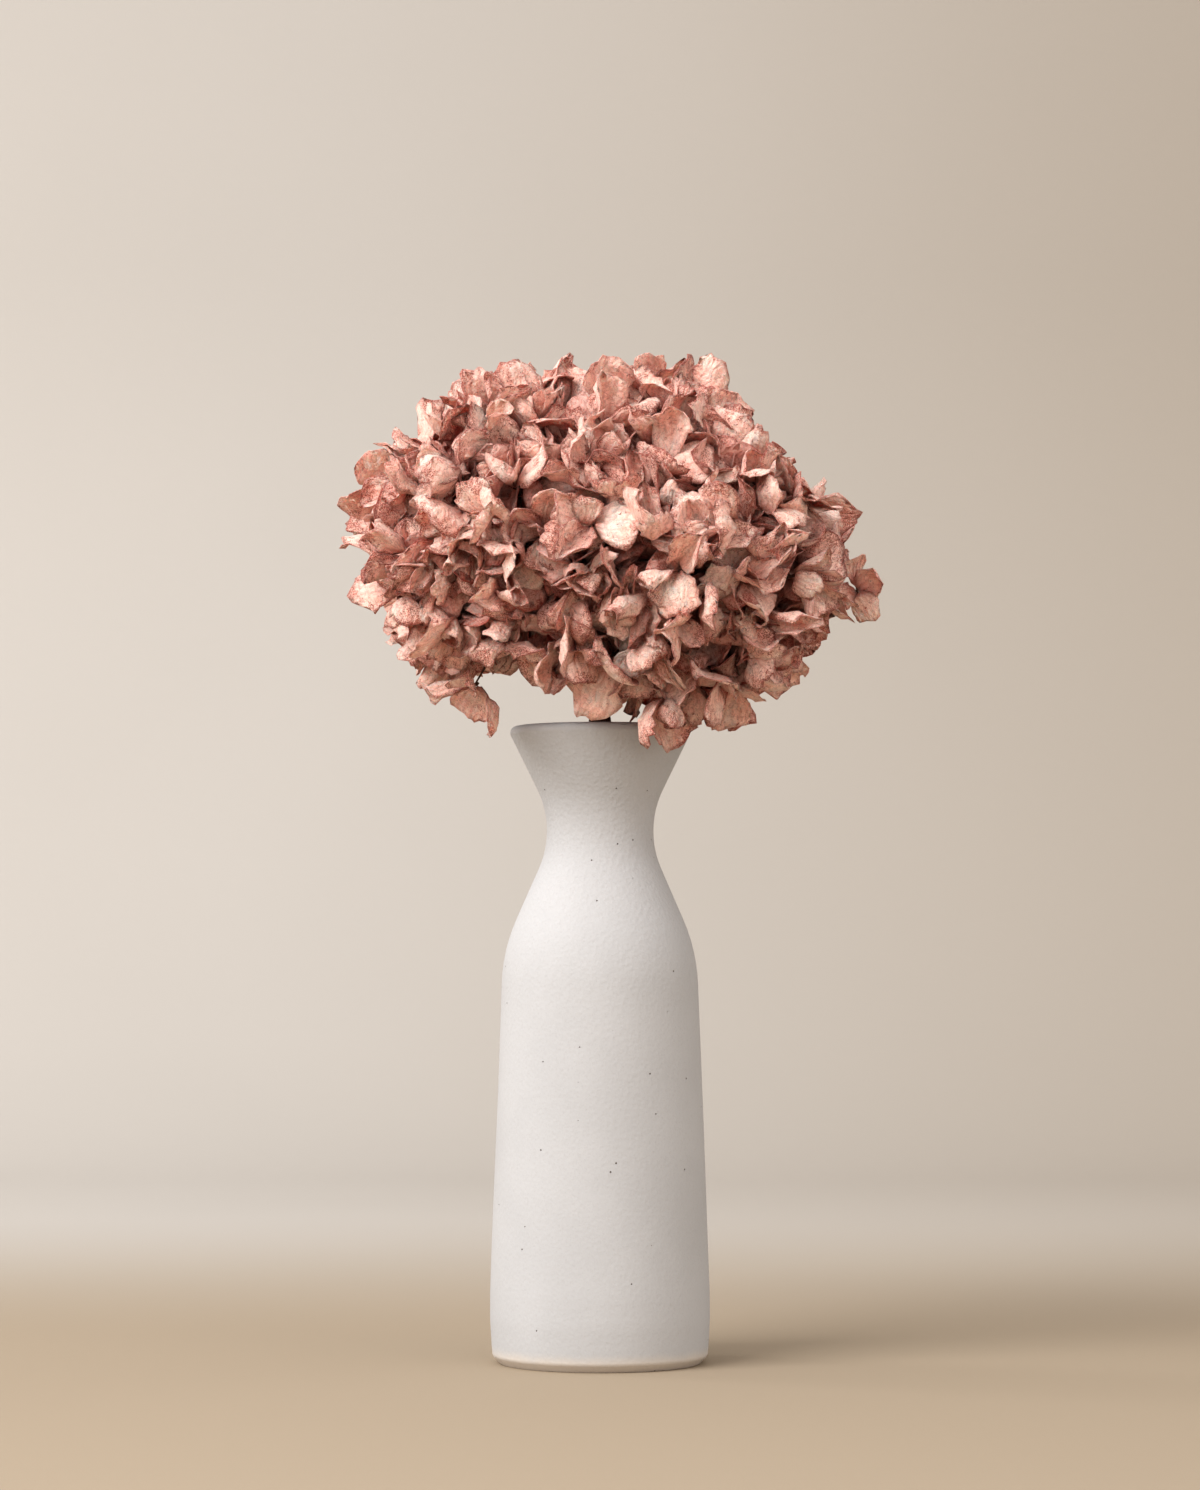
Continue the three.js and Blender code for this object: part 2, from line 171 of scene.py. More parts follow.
class Socket:
    """A socket of a node tree. Sums and products of sockets add the tree's own maths nodes."""

    def __init__(self, tree, socket):
        self.tree = tree
        self.socket = socket

    def of(self, output):
        """Another output of the same node."""
        return Socket(self.tree, self.socket.node.outputs[output])

    def maths(self, operation, first, second):
        sockets = [value.socket for value in (first, second) if isinstance(value, Socket)]
        if any(socket.type in ("VECTOR", "RGBA") for socket in sockets):
            values = [(v, v, v) if isinstance(v, (int, float)) else v for v in (first, second)]
            return self.tree.add("ShaderNodeVectorMath", {"operation": operation}, dict(enumerate(values)))
        return self.tree.add("ShaderNodeMath", {"operation": operation}, {0: first, 1: second})

    def __add__(self, other):
        return self.maths("ADD", self, other)

    def __sub__(self, other):
        return self.maths("SUBTRACT", self, other)

    def __rsub__(self, other):
        return self.maths("SUBTRACT", other, self)

    def __mul__(self, other):
        return self.maths("MULTIPLY", self, other)

    __radd__ = __add__
    __rmul__ = __mul__

    def rise(self, low, high):
        """0 below low, 1 above high and a smooth change between. It falls where low is the larger."""
        settings = {"interpolation_type": "SMOOTHSTEP"}
        return self.tree.add("ShaderNodeMapRange", settings, {0: self, 1: low, 2: high})


class Tree:
    """A node tree that nodes are added to, each in one call."""

    def __init__(self, nodes):
        self.nodes = nodes

    def add(self, kind, settings=None, inputs=None):
        """Adds a node: its type, its settings, then values or links for its sockets, by name or number."""
        node = self.nodes.nodes.new(kind)
        for name, value in (settings or {}).items():
            setattr(node, name, value)
        for name, value in (inputs or {}).items():
            shown = [socket for socket in node.inputs if socket.enabled]
            socket = shown[name] if isinstance(name, int) else next(s for s in shown if s.name == name)
            links = value if isinstance(value, list) else [value]
            for link in links:
                if isinstance(link, Socket):
                    self.nodes.links.new(link.socket, socket)
                else:
                    socket.default_value = link
        return Socket(self, next((socket for socket in node.outputs if socket.enabled), None))

    def mix(self, share, first, second):
        """From the first colour to the second."""
        return self.add("ShaderNodeMix", {"data_type": "RGBA"}, {"Factor": share, "A": first, "B": second})

    def noise(self, where, scale, detail=2.0, roughness=0.5, distortion=0.0):
        inputs = {"Vector": where, "Scale": scale, "Detail": detail, "Roughness": roughness}
        return self.add("ShaderNodeTexNoise", None, {**inputs, "Distortion": distortion})

    def surface(self, colour, roughness, shine, relief, strength, depth, others=None):
        """Ends a material, with its relief as a bump of a given depth."""
        bump = self.add("ShaderNodeBump", None, {"Strength": strength, "Distance": depth, "Height": relief})
        finish = {"Base Color": colour, "Roughness": roughness, "Specular IOR Level": shine, "Normal": bump}
        shader = self.add("ShaderNodeBsdfPrincipled", None, {**finish, **(others or {})})
        self.add("ShaderNodeOutputMaterial", None, {"Surface": shader})


def material(name):
    """A new material and its tree, empty."""
    made = bpy.data.materials.new(name)
    made.use_nodes = True
    made.node_tree.nodes.clear()
    return made, Tree(made.node_tree)


def paint(code):
    """A colour as the shader takes it, from its usual six-digit code."""
    shares = [int(code[i : i + 2], 16) / 255 for i in (0, 2, 4)]
    return (*[s / 12.92 if s <= 0.04045 else ((s + 0.055) / 1.055) ** 2.4 for s in shares], 1)


stoneware, tree = material("bare white stoneware")
place = tree.add("ShaderNodeTexCoord").of("Object")
height = tree.add("ShaderNodeSeparateXYZ", None, {0: place}).of("Z")
clouds = tree.noise(place, 22, detail=3)
grain = tree.noise(place, 1100, detail=3, roughness=0.6)
hide = tree.add("ShaderNodeTexVoronoi", {"feature": "SMOOTH_F1"},
                {"Vector": place, "Scale": 520, "Smoothness": 0.7})

# Pinholes are the middles of some cells of one pattern, and scratches of another, drawn out and slanted.
pits = tree.add("ShaderNodeTexVoronoi", None, {"Vector": place, "Scale": 120})
pit_draw = tree.add("ShaderNodeSeparateColor", None, {0: pits.of("Color")})
pinhole = pits.rise(0.062, 0.030) * pit_draw.rise(0.45, 0.55)
slanted = tree.add("ShaderNodeMapping", None,
                   {"Vector": place, "Rotation": (0.5, 0.35, 0.0), "Scale": (1, 1, 0.16)})
nicks = tree.add("ShaderNodeTexVoronoi", None, {"Vector": slanted, "Scale": 90})
nick_draw = tree.add("ShaderNodeSeparateColor", None, {0: nicks.of("Color")})
scratch = nicks.rise(0.024, 0.012) * nick_draw.rise(0.86, 0.9)

bare_edge = (height + tree.noise(place, 90) * 0.003).rise(0.0105, 0.0035)
colour = tree.mix(clouds.rise(0.35, 0.65), paint("B6B6B7"), paint("BABABB"))
colour = tree.mix(grain.rise(0.5, 0.75) * 0.35, colour, paint("A9A7A7"))
colour = tree.mix(bare_edge * 0.7, colour, paint("D6CABC"))
colour = tree.mix(scratch * 0.5, colour, paint("9C948C"))
colour = tree.mix(pinhole * 0.9, colour, paint("5A5048"))
leathery = height.rise(0.14, 0.24) * 0.6 + 0.4  # most on the shoulder and the neck
relief = (hide * 0.6 + grain * 0.35) * leathery - pinhole * 2.5 - scratch * 0.8
tree.surface(colour, roughness=grain * 0.16 + 0.72, shine=0.35, relief=relief, strength=0.7, depth=0.0005)
bottle.data.materials.append(stoneware)

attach(bottle, "root")
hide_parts("vase")

# ---- The stems ----
# Three cut hydrangea stems, one for each head. They are last season's wood, brown and ridged, and stand
# on the vase's floor, lean together in its neck and part again above its mouth, each into its own head.

SEAT_GAP = 0.0003
STEM_RADIUS = 0.0025
STEM_RINGS = 170
STEM_SIDES = 16
RIDGE_DEPTH = 0.0009

# A stem's way up through the vase: its offset from the axis, in X and in Y, at each height.
STEM_ROUTE = [
    (0.022, FLOOR + 2 * SEAT_GAP),
    (0.0158, FLOOR + 0.095),
    (0.0044, NECK[1] - 0.030),
    (0.0028, NECK[1] + 0.012),
    (0.0028, MOUTH[1]),
    (0.0032, MOUTH[1] + 0.014),
]

# Each head's middle, its reach and the seed of its florets' draw, with the side of the axis on which its
# stem climbs and where that ends.
HEADS = {
    "left": {"centre": (-0.050, -0.012, 0.374), "reach": (0.066, 0.082, 0.075), "draw": 6,
             "side": (-1, -1), "seat": (-0.030, -0.006, 0.354)},
    "right": {"centre": (0.047, -0.022, 0.360), "reach": (0.066, 0.082, 0.071), "draw": 17,
              "side": (1, -1), "seat": (0.030, -0.014, 0.342)},
    "back": {"centre": (0.008, 0.028, 0.383), "reach": (0.066, 0.082, 0.071), "draw": 3,
             "side": (0, 1), "seat": (0.005, 0.019, 0.362)},
}

bark, tree = material("ridged brown wood")
place = tree.add("ShaderNodeTexCoord").of("Object")
drawn_out = tree.add("ShaderNodeMapping", None, {"Vector": place, "Scale": (1, 1, 0.07)})
streaks = tree.noise(drawn_out, 1600, detail=4, roughness=0.65)
patches = tree.noise(place, 160, detail=3)
colour = tree.mix(streaks.rise(0.35, 0.7), paint("33201A"), paint("6E4E3D"))
colour = tree.mix(patches.rise(0.55, 0.75) * 0.5, colour, paint("8A6A52"))
tree.surface(colour, roughness=patches * 0.2 + 0.7, shine=0.3, relief=streaks, strength=0.8, depth=0.0004)


def growth(name, inputs):
    """A new tree of geometry nodes with named inputs, and those inputs as sockets."""
    tree = Tree(bpy.data.node_groups.new(name, "GeometryNodeTree"))
    for label, kind in {"Geometry": "Geometry", **inputs}.items():
        tree.nodes.interface.new_socket(label, in_out="INPUT", socket_type=f"NodeSocket{kind}")
    tree.nodes.interface.new_socket("Geometry", in_out="OUTPUT", socket_type="NodeSocketGeometry")
    given = tree.add("NodeGroupInput")
    return tree, {label: given.of(label) for label in ["Geometry", *inputs]}


def grown(name, start, tree, values):
    """The plain mesh that a tree grows from a starting mesh, as a piece of its own."""
    seed = in_scene(name + " start", start)
    modifier = seed.modifiers.new("growth", "NODES")
    modifier.node_group = tree.nodes
    for item in tree.nodes.interface.items_tree:
        if item.name in values:
            modifier[item.identifier] = values[item.name]
    mesh = bpy.data.meshes.new_from_object(seed.evaluated_get(bpy.context.evaluated_depsgraph_get()))
    seed.modifiers.remove(modifier)
    bpy.data.objects.remove(seed)
    mesh.name = name
    return in_scene(name, mesh)


# A stem: a round section swept along a smooth path, thicker in some places, with ridges along it.
tree, given = growth("stem along a path", {
    "Radius": "Float", "Rings": "Int", "Sides": "Int", "Ridge": "Float", "Bark": "Material",
})
path = tree.add("GeometryNodeMeshToCurve", None, {"Mesh": given["Geometry"]})
path = tree.add("GeometryNodeCurveSplineType", {"spline_type": "CATMULL_ROM"}, {"Curve": path})
path = tree.add("GeometryNodeResampleCurve", None, {"Curve": path, "Count": given["Rings"]})
place = tree.add("GeometryNodeInputPosition")
swelling = tree.noise(place, 45, detail=1) * 0.3 + 0.82
path = tree.add("GeometryNodeSetCurveRadius", None, {"Curve": path, "Radius": swelling})
section = tree.add("GeometryNodeCurvePrimitiveCircle", None,
                   {"Resolution": given["Sides"], "Radius": given["Radius"]})
tube = {"Curve": path, "Profile Curve": section, "Scale": swelling, "Fill Caps": True}
stem = tree.add("GeometryNodeCurveToMesh", None, tube)
drawn_out = place * (1.0, 1.0, 0.05)
ridges = tree.noise(drawn_out, 650, detail=2) - 0.5
offset = tree.add("GeometryNodeInputNormal") * (ridges * given["Ridge"])
stem = tree.add("GeometryNodeSetPosition", None, {"Geometry": stem, "Offset": offset})
stem = tree.add("GeometryNodeSetShadeSmooth", None, {"Geometry": stem})
stem = tree.add("GeometryNodeRealizeInstances", None, {"Geometry": stem})
stem = tree.add("GeometryNodeSetMaterial", None, {"Geometry": stem, "Material": given["Bark"]})
tree.add("NodeGroupOutput", None, {"Geometry": stem})

for name, head in HEADS.items():
    route = [(head["side"][0] * offset, head["side"][1] * offset, height) for offset, height in STEM_ROUTE]
    route.append(head["seat"])
    line = bpy.data.meshes.new("route")
    line.from_pydata(route, [(k, k + 1) for k in range(len(route) - 1)], [])
    values = {"Radius": STEM_RADIUS, "Rings": STEM_RINGS, "Sides": STEM_SIDES, "Ridge": RIDGE_DEPTH,
              "Bark": bark}
    stem = grown(f"{name}_stem", line, tree, values)
    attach(stem, "root")
    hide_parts(f"stem_{name}")

# ---- The heads ----
# Three mophead flower heads, dried on the stem and pressed together into one bunch. Each is a dense ball
# of florets on thin branching stalks, and a floret is four broad papery sepals round a tiny bud. They
# dried slowly, so the sepals have curled, folded and worn, each its own way, and faded to a dusty pink.

CLOSENESS = 3.6  # how far the heads' florets fill the clefts between them: less fills more
BUNCH_CENTRE = np.array([0, -0.002, 0.372])
BUNCH_REACH = 0.25  # beyond the bunch in every direction
BUNCH_SPOTS = 6000  # spots on the bunch's surface, from which the florets' places are taken
SEARCH_STEPS = 24  # halvings of the way from the middle to that reach, which find the surface
SLOPE_STEP = 0.0005  # to each side of a spot, which finds the way that it faces
OVER_MOUTH = (0.049, 0.317)  # spots inside this radius and below this height take no floret

# The florets' layers from the outside in: how far apart the florets are, how deep they lie under the
# surface, and the size of their sepals as a share of the outermost ones'.
LAYERS = [
    {"spacing": 0.0185, "insets": (0.013, 0.024), "size": 1.0},
    {"spacing": 0.0190, "insets": (0.027, 0.038), "size": 1.05},
    {"spacing": 0.0240, "insets": (0.042, 0.052), "size": 1.2},
]

# Florets with places of their own: which head, where, which way each faces, and its size. The first three
# stand clear of the rest, the next two hang lowest, and the others close the front over the stems.
PLACED_FLORETS = [
    ("back", (0.024, 0.004, 0.446), (0.1, -0.9, 0.4), 0.85),
    ("back", (0.046, 0.004, 0.444), (0.3, -0.8, 0.3), 0.85),
    ("right", (0.116, -0.020, 0.352), (0.45, -0.85, -0.1), 0.8),
    ("right", (0.029, -0.056, 0.301), (0.05, -0.95, -0.3), 1.0),
    ("left", (-0.055, -0.040, 0.306), (-0.1, -0.8, -0.5), 1.0),
    ("right", (0.004, -0.078, 0.374), (-0.25, -0.95, 0.2), 1.0),
    ("right", (0.002, -0.068, 0.342), (-0.3, -0.9, -0.1), 1.0),
    ("right", (-0.002, -0.048, 0.326), (-0.25, -0.85, -0.4), 1.0),
    ("left", (-0.033, -0.044, 0.340), (0.1, -0.9, -0.35), 0.9),
]

# Where the bunch is pressed in, or where it swells if the depth is below 0: the middle of the place, how
# wide it reaches and how deep it goes, as a share of a head's reach.
HOLLOWS = [
    ((-0.098, 0.000, 0.428), 0.032, 0.24),
    ((-0.112, 0.000, 0.332), 0.034, 0.28),
    ((-0.033, -0.020, 0.306), 0.026, 0.60),
    ((-0.026, 0.045, 0.306), 0.036, 0.45),
    ((0.040, 0.000, 0.296), 0.028, 0.08),
    ((0.096, 0.000, 0.308), 0.034, 0.22),
    ((0.118, 0.000, 0.352), 0.030, 0.08),
    ((0.088, 0.000, 0.428), 0.040, 0.26),
    ((-0.005, 0.000, 0.458), 0.030, 0.08),
    ((0.004, -0.080, 0.360), 0.040, -0.16),
]

SEPAL_LENGTH = 0.024
SEPAL_WIDTH = 0.027
SEPAL_THICKNESS = 0.00035
SEPAL_GRIDS = [(7, 9), (5, 6)]  # the outer florets' sepals, then plainer ones for the florets behind them
DEPTH_OF_PLAIN = 0.0255  # the plainer ones start here
ROUNDNESS = 0.45  # how far the grid's corners are rounded off
RIB_STEPS = 45
SEPAL_SEED = 7

# What is drawn for each sepal, from the least to the most: its size and its angles as shares of the usual,
# how far its edge is worn, and the height of its ruffle and its pleats, as shares of its own size.
SIZE_SPREAD = (0.85, 1.15)
ANGLE_SPREAD = (0.7, 1.3)
EDGE_SPREAD = (0.9, 1.04)
RUFFLE_SPREAD = (0.05, 0.17)
PLEAT_SPREAD = (0.015, 0.055)

# How sepals dried: the fold along the rib, the roll of the edges and the curl of the tip, in degrees, and
# how many shapes are drawn each way.
SEPAL_WAYS = [
    {"fold": 4, "roll": 45, "curl": 35, "draws": 5},
    {"fold": 8, "roll": 85, "curl": 75, "draws": 4},
    {"fold": 60, "roll": 18, "curl": 15, "draws": 5},
    {"fold": 20, "roll": 145, "curl": 10, "draws": 4},
    {"fold": 4, "roll": -60, "curl": -40, "draws": 4},
    {"fold": -12, "roll": 20, "curl": 105, "draws": 2},
]


def shell(name, sheet, thickness, rows, columns):
    """A thin closed mesh about a sheet, which is a grid of points with its face up. It keeps each point's
    place on the grid as UVs, and marks the underside."""
    grid = sheet.reshape(rows, columns, 3)
    along = np.gradient(grid, axis=0)
    across = np.gradient(grid, axis=1)
    up = np.cross(along, across)
    up /= np.linalg.norm(up, axis=2, keepdims=True)
    half = up * thickness / 2
    vertices = np.concatenate([(grid + half).reshape(-1, 3), (grid - half).reshape(-1, 3)])
    count = rows * columns
    at = np.arange(count).reshape(rows, columns)
    quads = [at[:-1, :-1], at[1:, :-1], at[1:, 1:], at[:-1, 1:]]
    top = np.stack(quads, axis=-1).reshape(-1, 4)
    rim = np.concatenate([at[:-1, 0], at[-1, :-1], at[:0:-1, -1], at[0, :0:-1]])
    after = np.roll(rim, -1)
    sides = np.stack([rim, rim + count, after + count, after], axis=-1)
    faces = np.concatenate([top, top[:, ::-1] + count, sides])
    mesh = bpy.data.meshes.new(name)
    mesh.from_pydata(vertices.tolist(), [], faces.tolist())
    shares = np.meshgrid(np.linspace(0, 1, rows), np.linspace(0, 1, columns), indexing="ij")
    shares = np.concatenate([np.stack(shares, axis=-1).reshape(-1, 2)] * 2)
    corners = np.zeros(len(mesh.loops), int)
    mesh.loops.foreach_get("vertex_index", corners)
    mesh.uv_layers.new(name="UVMap").data.foreach_set("uv", shares[corners].ravel())
    underside = mesh.attributes.new("underside", "FLOAT", "POINT")
    underside.data.foreach_set("value", np.repeat([0.0, 1.0], count))
    mesh.shade_smooth()
    return mesh


def sepal(name, way, rows, columns, random):
    """One dried sepal. It lies along +X from its claw, with its face up."""
    length = SEPAL_LENGTH * random.uniform(*SIZE_SPREAD)
    half_width = SEPAL_WIDTH / 2 * random.uniform(*SIZE_SPREAD)
    angles = (way[key] * random.uniform(*ANGLE_SPREAD) for key in ("fold", "roll", "curl"))
    fold, roll, curl = (math.radians(angle) for angle in angles)
    # Flat: a square grid rounded into a blunt leaf that narrows to its claw, with a worn edge.
    u, v = np.meshgrid(np.linspace(-1, 1, rows), np.linspace(-1, 1, columns), indexing="ij")
    edge = np.maximum(abs(u), abs(v))
    worn = np.where(edge == 1, random.uniform(*EDGE_SPREAD, u.shape), 1)
    along = 0.5 + u * np.sqrt(1 - ROUNDNESS * abs(v) ** random.uniform(1.1, 1.9)) / 2 * worn
    across = v * np.sqrt(1 - ROUNDNESS * u**2) * worn * (along + 0.03) ** random.uniform(0.25, 0.5)
    # The rib bends in its own plane, and each side of it folds up and rolls.
    steps = np.linspace(0, 1.1, RIB_STEPS)
    bend = curl * (steps - 0.35) * 1.6 + random.uniform(-0.6, 0.6) * steps**3
    rib = np.cumsum(np.exp(1j * bend)) * steps[1] * length
    bend_here = np.interp(along, steps, bend)
    roll_here = roll * np.where(v < 0, *random.uniform(0.5, 1.3, 2)) * (0.4 + 0.6 * along)
    side = np.exp(1j * fold) * (np.exp(1j * roll_here * abs(across)) - 1) / (1j * roll_here) * half_width
    # The edge ruffles, and pleats fan out from the claw.
    around = np.arctan2(across, along - 0.3)
    fan = np.arctan2(across * half_width, along * length + 0.002)
    ruffle = random.uniform(*RUFFLE_SPREAD) * half_width * edge**3 * along
    pleat = random.uniform(*PLEAT_SPREAD) * length * along
    waves, pleats, phase, pleat_phase = random.uniform((1.5, 3, 0, 0), (4, 7, 2 * math.pi, 2 * math.pi))
    lift = ruffle * np.sin(waves * around + phase) + pleat * np.sin(pleats * fan + pleat_phase)
    section = np.sign(v) * side.real + 1j * (side.imag + lift)
    section *= np.exp(1j * random.uniform(-0.4, 0.4) * along)
    in_plane = np.interp(along, steps, rib) + 1j * section.imag * np.exp(1j * bend_here)
    sheet = np.stack([in_plane.real, section.real, in_plane.imag], axis=-1)
    return bpy.data.objects.new(name, shell(name, sheet, SEPAL_THICKNESS, rows, columns))


def outwardness(points):
    """How far out points are: 1 on the surface that all the heads share, less inside it."""
    nearness = 0
    for head in HEADS.values():
        nearness += np.exp(-CLOSENESS * np.linalg.norm((points - head["centre"]) / head["reach"], axis=1))
    out = -np.log(nearness) / CLOSENESS
    for middle, reach, depth in HOLLOWS:
        out += depth * np.exp(-(np.linalg.norm(points - middle, axis=1) / reach) ** 2)
    return out


def bunch_spots(count):
    """Spots all over the surface that the heads share, evenly spread, with the way that each faces."""
    step = np.arange(count)
    up = 1 - (2 * step + 1) / count
    angle = step * math.pi * (3 - math.sqrt(5))
    flat = np.sqrt(1 - up**2)
    direction = np.stack([flat * np.cos(angle), flat * np.sin(angle), up], axis=1)
    near, far = np.zeros(count), np.full(count, BUNCH_REACH)
    for _ in range(SEARCH_STEPS):
        middle = (near + far) / 2
        inside = outwardness(BUNCH_CENTRE + direction * middle[:, None]) < 1
        near, far = np.where(inside, middle, near), np.where(inside, far, middle)
    spots = BUNCH_CENTRE + direction * near[:, None]
    steps = np.eye(3) * SLOPE_STEP
    slope = np.stack([outwardness(spots + s) - outwardness(spots - s) for s in steps], axis=1)
    return spots, slope / np.linalg.norm(slope, axis=1, keepdims=True)


def on_side_of(name, points):
    """Which points are on a head's side of the planes where it meets its neighbours."""
    own = HEADS[name]
    mine = np.mean(own["reach"])
    near = np.full(len(points), True)
    for other in HEADS.values():
        if other is own:
            continue
        across = np.subtract(other["centre"], own["centre"])
        distance = np.linalg.norm(across)
        share = (distance**2 + mine**2 - np.mean(other["reach"]) ** 2) / (2 * distance)
        near &= (points - own["centre"]) @ (across / distance) < share
    return near


def floret_places(name, spots, facing, random):
    """A head's florets, first the placed ones, then layer by layer: where each is, which way it faces, its
    depth and its size. In a layer each goes to the spot furthest from those already there, until no spot
    is far from one."""
    open_spots = on_side_of(name, spots)
    open_spots &= (np.hypot(spots[:, 0], spots[:, 1]) > OVER_MOUTH[0]) | (spots[:, 2] > OVER_MOUTH[1])
    spots, facing = spots[open_spots], facing[open_spots]
    rows = [(at, way, 0.0, size) for head, at, way, size in PLACED_FLORETS if head == name]
    for layer in LAYERS:
        gaps = np.linalg.norm(spots - spots[random.integers(len(spots))], axis=1)
        while gaps.max() > layer["spacing"]:
            pick = gaps.argmax()
            gaps = np.minimum(gaps, np.linalg.norm(spots - spots[pick], axis=1))
            inset = random.uniform(*layer["insets"])
            rows.append((spots[pick] - facing[pick] * inset, facing[pick], inset, layer["size"]))
    return rows


def floret_start(name, rows):
    """The florets' places as loose points that carry the rest as attributes."""
    mesh = bpy.data.meshes.new(name)
    mesh.from_pydata([tuple(row[0]) for row in rows], [], [])
    facing = mesh.attributes.new("facing", "FLOAT_VECTOR", "POINT")
    facing.data.foreach_set("vector", np.array([row[1] for row in rows], float).ravel())
    for attribute, column in (("inset", 2), ("size", 3)):
        values = mesh.attributes.new(attribute, "FLOAT", "POINT")
        values.data.foreach_set("value", np.array([row[column] for row in rows], float))
    return mesh


random = np.random.default_rng(SEPAL_SEED)
sepals = bpy.data.collections.new("sepals")
for rows, columns in SEPAL_GRIDS:
    for way in SEPAL_WAYS:
        for _ in range(way["draws"]):
            sepals.objects.link(sepal(f"sepal {len(sepals.objects):02d}", way, rows, columns, random))

# A floret's stalk: a thin rod from 0 down to 1 below, twice as thick at its foot, which each floret stretches
# to its own length.
STALK_SIDES = 5
STALK_RADIUS = 0.0005
STALK_SHARE = 0.7  # of the way back from the floret to the stem's end
stalk_mesh = bmesh.new()
bmesh.ops.create_cone(stalk_mesh, cap_ends=True, segments=STALK_SIDES, radius1=2 * STALK_RADIUS,
                      radius2=STALK_RADIUS, depth=1)
bmesh.ops.translate(stalk_mesh, vec=(0, 0, -0.5), verts=stalk_mesh.verts)
stalk_data = bpy.data.meshes.new("stalk")
stalk_mesh.to_mesh(stalk_data)
stalk = bpy.data.objects.new("stalk", stalk_data)

BUD_RADIUS = 0.0013
bud_mesh = bmesh.new()
bmesh.ops.create_icosphere(bud_mesh, subdivisions=1, radius=BUD_RADIUS)
bud_data = bpy.data.meshes.new("bud")
bud_mesh.to_mesh(bud_data)
bud = bpy.data.objects.new("bud", bud_data)

dried, tree = material("dried sepals")
place = tree.add("ShaderNodeTexCoord").of("Object")
on_sepal = tree.add("ShaderNodeUVMap", {"uv_map": "UVMap"})
shares = tree.add("ShaderNodeSeparateXYZ", None, {0: on_sepal})
along, across = shares.of("X"), shares.of("Y")
from_rib = tree.add("ShaderNodeMath", {"operation": "ABSOLUTE"}, {0: across * 2 - 1})
tone = tree.add("ShaderNodeAttribute", {"attribute_name": "tone"}).of("Fac")
wear = tree.add("ShaderNodeAttribute", {"attribute_name": "wear"}).of("Fac")
under = tree.add("ShaderNodeAttribute", {"attribute_name": "underside"}).of("Fac")
inset = tree.add("ShaderNodeAttribute", {"attribute_name": "inset"}).of("Fac")
blotches = tree.noise(place, 85, detail=4, roughness=0.6)
mottle = tree.noise(place, 380, detail=5, roughness=0.7)
specks = tree.noise(place, 1900, detail=2, roughness=0.7)
veins = tree.add("ShaderNodeTexWave", {"bands_direction": "Y"},
                 {"Vector": on_sepal, "Scale": 2.2, "Distortion": 5.5, "Detail": 4.0, "Detail Scale": 2.6,
                  "Detail Roughness": 0.65})

# The pale ground and its veins, a little browner on some florets, low in the bunch and on the undersides.
colour = tree.mix(blotches.rise(0.35, 0.65), paint("FFDDD1"), paint("FFCBBC"))
lower_part = tree.add("ShaderNodeSeparateXYZ", None, {0: place}).of("Z").rise(0.38, 0.30)
colour = tree.mix(tone.rise(0.4, 0.9) * 0.2 + lower_part * 0.1, colour, paint("F3C5B4"))
colour = tree.mix(under * 0.3, colour, paint("F6C9BC"))
colour = tree.mix(veins.rise(0.6, 0.95) * 0.22, colour, paint("B5705F"))

# Old brown patches and stipple and darker rims, then painted shade: on the claws, and deeper on the florets
# further in.
edge = tree.add("ShaderNodeMath", {"operation": "MAXIMUM"}, {0: from_rib, 1: along})
old = blotches * 0.5 + mottle * 0.3 + edge.rise(0.5, 1.0) * 0.12 + wear * 0.16
stipple = specks.rise(0.44, 0.60)
colour = tree.mix(old.rise(0.555, 0.62) * (stipple * 0.7 + 0.14), colour, paint("843528"))
colour = tree.mix(stipple * mottle.rise(0.57, 0.63) * 0.7, colour, paint("5A1F17"))
colour = tree.mix(specks.rise(0.47, 0.63) * 0.24, colour, paint("8F4A3B"))
rim = (edge + (mottle - 0.5) * 0.25).rise(0.9, 1.0)
colour = tree.mix(rim * (wear * 0.5 + 0.25), colour, paint("7A3026"))
# Painted shade on each sepal's claw, deep in the floret's middle.
colour = tree.mix(along.rise(0.42, 0.0) * 0.65, colour, paint("8C3426"))
# Painted shade: a dark red tint that deepens on the florets lying further in under the others.
colour = tree.mix(inset.rise(0.018, 0.036) * 0.5, colour, paint("903223"))

# Fine creases, with painted shade along their bottoms, and the rest of the relief.
crinkled = tree.noise(place, 190, detail=3, distortion=0.6) - 0.5
creases = tree.add("ShaderNodeMath", {"operation": "ABSOLUTE"}, {0: crinkled})
# Painted shade along the bottoms of the fine creases.
colour = tree.mix(creases.rise(0.03, 0.0) * 0.28, colour, paint("7A3A2E"))
relief = veins * 0.5 + mottle * 0.5 + blotches * 0.6 + specks * 0.12 + creases * 3
papery = {"Subsurface Weight": 0.45, "Subsurface Radius": (1.0, 0.40, 0.32), "Subsurface Scale": 0.001,
          "Sheen Weight": 0.3, "Sheen Roughness": 0.6, "Sheen Tint": (1.0, 0.75, 0.66, 1)}
tree.surface(colour, roughness=mottle * 0.2 + 0.72, shine=0.2, relief=relief, strength=1.0, depth=0.0008,
             others=papery)

FLORET_LEAN = 0.7  # how far a floret's facing is thrown off, each way, next to a facing of 1
CREASE = 0.009  # the depth of the broad bends that the whole head took as it dried
CRUMPLE = 0.0018  # and of the fine ones
SEED_STEP = 100  # keeps the heads' draws apart

# A sepal's own place in its floret, in radians: the most that it is turned about the floret's middle, tipped
# up and tilted to one side. Then its size, from the least to the most.
SEPAL_TURN = 0.2
SEPAL_TIP = 1.25
SEPAL_TILT = 0.4
SEPAL_SIZES = (0.78, 1.2)

